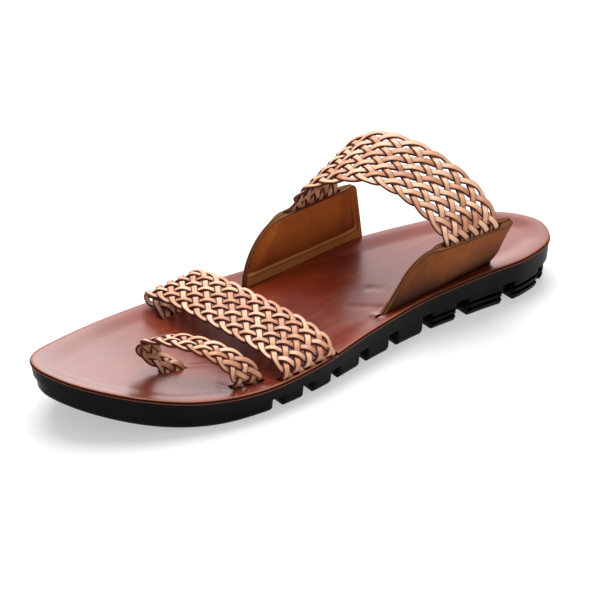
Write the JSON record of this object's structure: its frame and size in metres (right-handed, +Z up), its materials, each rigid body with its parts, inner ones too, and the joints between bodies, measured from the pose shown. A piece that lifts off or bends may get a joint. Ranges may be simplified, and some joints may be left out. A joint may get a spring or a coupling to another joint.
{
  "type": "braided strap slipper",
  "caption": "Man's right-foot slipper: black rubber sole, brown footbed, flat braided forefoot strap and toe loop, and an open braided instep strap held between side tabs.",
  "frame": {"origin": "on the floor, under the middle of the slipper's length and width", "axes": "+X towards the toe, +Y towards the inner, big-toe side, +Z up"},
  "size_m": [0.2798, 0.1026, 0.0801],
  "materials": {
    "sole": "satin moulded rubber",
    "footbed": "smooth glossy leather look with a dark edge",
    "strap": "smooth pale leather strips with dark cut edges",
    "tab": "fine suede with a dark edge line"
  },
  "bodies": {
    "root": {"outsole": "sole", "footbed": "footbed", "forefoot_strap": "strap", "toe_loop": "strap", "instep_strap": "strap", "inner_tab": "tab", "inner_lining": "tab", "outer_tab": "tab", "outer_lining": "tab"}
  },
  "joints": []
}
